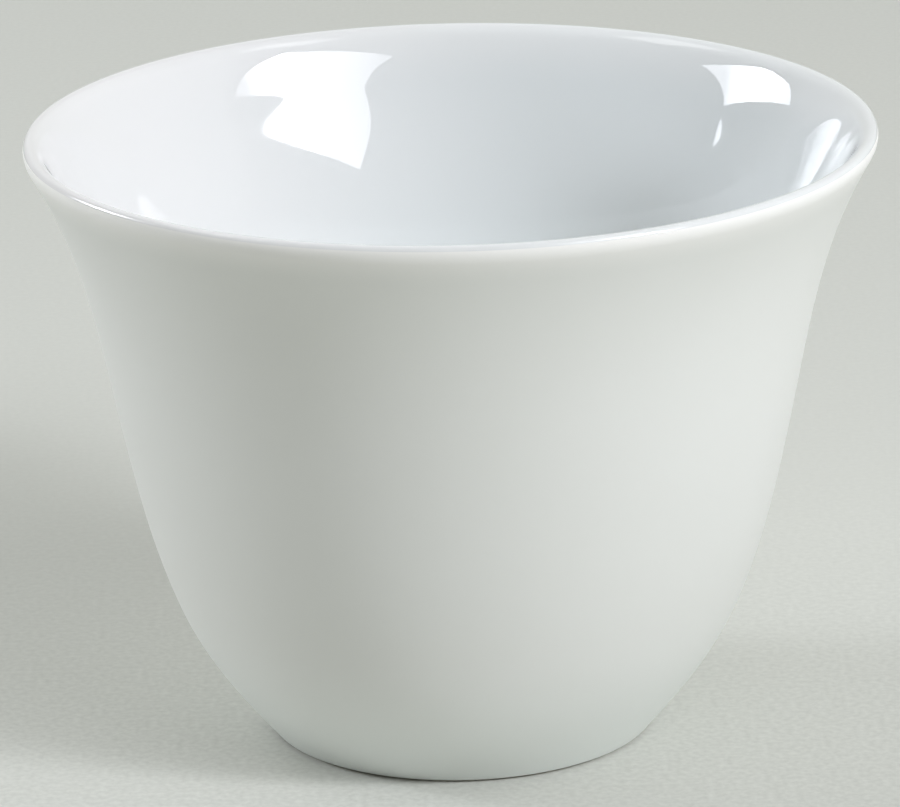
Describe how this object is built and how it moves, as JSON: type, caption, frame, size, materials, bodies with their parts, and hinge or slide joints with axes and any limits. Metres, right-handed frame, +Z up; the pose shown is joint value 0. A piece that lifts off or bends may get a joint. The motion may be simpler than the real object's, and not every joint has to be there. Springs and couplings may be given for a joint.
{
  "type": "sake cup",
  "caption": "Small porcelain sake cup without a handle: flared lip, rounded belly, narrow recessed foot ring, matt outside and glossy glazed inside.",
  "frame": {"origin": "centre of the foot ring, on the surface that the cup stands on", "axes": "+Z up along the turning axis, out of the mouth; X and Y are free, because the cup is round"},
  "size_m": [0.07, 0.07, 0.0513],
  "materials": {
    "bare_porcelain": "bare fired clay, ground smooth",
    "matt_glaze": "matt white",
    "gloss_glaze": "clear gloss over white clay, slightly bluish",
    "recess_glaze": "clear gloss over white clay, slightly bluish"
  },
  "bodies": {
    "root": {"porcelain_body": "bare_porcelain", "outer_matt_glaze": "matt_glaze", "inner_gloss_glaze": "gloss_glaze", "foot_recess_glaze": "recess_glaze"}
  },
  "joints": []
}
